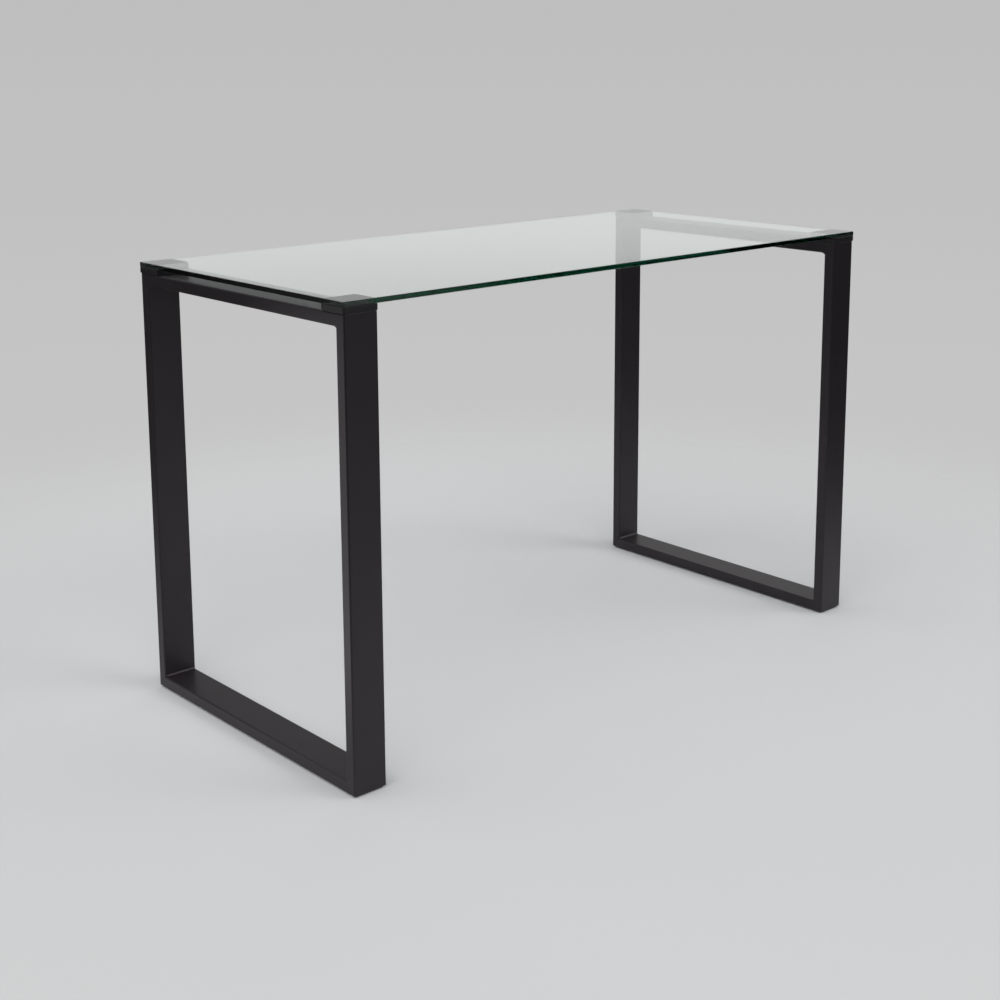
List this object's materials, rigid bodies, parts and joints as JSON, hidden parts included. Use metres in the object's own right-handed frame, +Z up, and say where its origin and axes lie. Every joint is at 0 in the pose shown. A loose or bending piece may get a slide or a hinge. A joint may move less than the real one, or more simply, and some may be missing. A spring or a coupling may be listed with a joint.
{
  "type": "glass top computer desk",
  "caption": "Writing desk with a clear tempered glass top carried at its corners on closed rectangular loop legs of black powder-coated steel tube.",
  "frame": {"origin": "on the floor under the middle of the glass top, at the bottom of the glides", "axes": "+X along the length of the desk to the right as a person sits at it from -Y, +Y from the front edge to the back edge, +Z up"},
  "size_m": [1.2, 0.57, 0.75],
  "materials": {
    "glass": "clear tempered float glass with polished edges that look dark green",
    "leg_coat": "fine satin black powder coat",
    "plate_coat": "satin black powder coat",
    "bond": "cured adhesive, grey and slightly glossy under the glass",
    "glide": "moulded dark grey polyethylene",
    "screw": "zinc plated",
    "washer": "zinc plated"
  },
  "bodies": {
    "root": {"front_left_bond": "bond", "front_left_glide": "glide", "front_left_plate": "plate_coat", "front_right_bond": "bond", "front_right_glide": "glide", "front_right_plate": "plate_coat", "glass_top": "glass", "left_bottom_rail": "leg_coat", "left_front_post": "leg_coat", "left_leg_welds": "leg_coat", "left_rear_post": "leg_coat", "left_top_rail": "leg_coat", "plate_screws": "screw", "rear_left_bond": "bond", "rear_left_glide": "glide", "rear_left_plate": "plate_coat", "rear_right_bond": "bond", "rear_right_glide": "glide", "rear_right_plate": "plate_coat", "right_bottom_rail": "leg_coat", "right_front_post": "leg_coat", "right_leg_welds": "leg_coat", "right_rear_post": "leg_coat", "right_top_rail": "leg_coat", "screw_washers": "washer"}
  },
  "joints": []
}
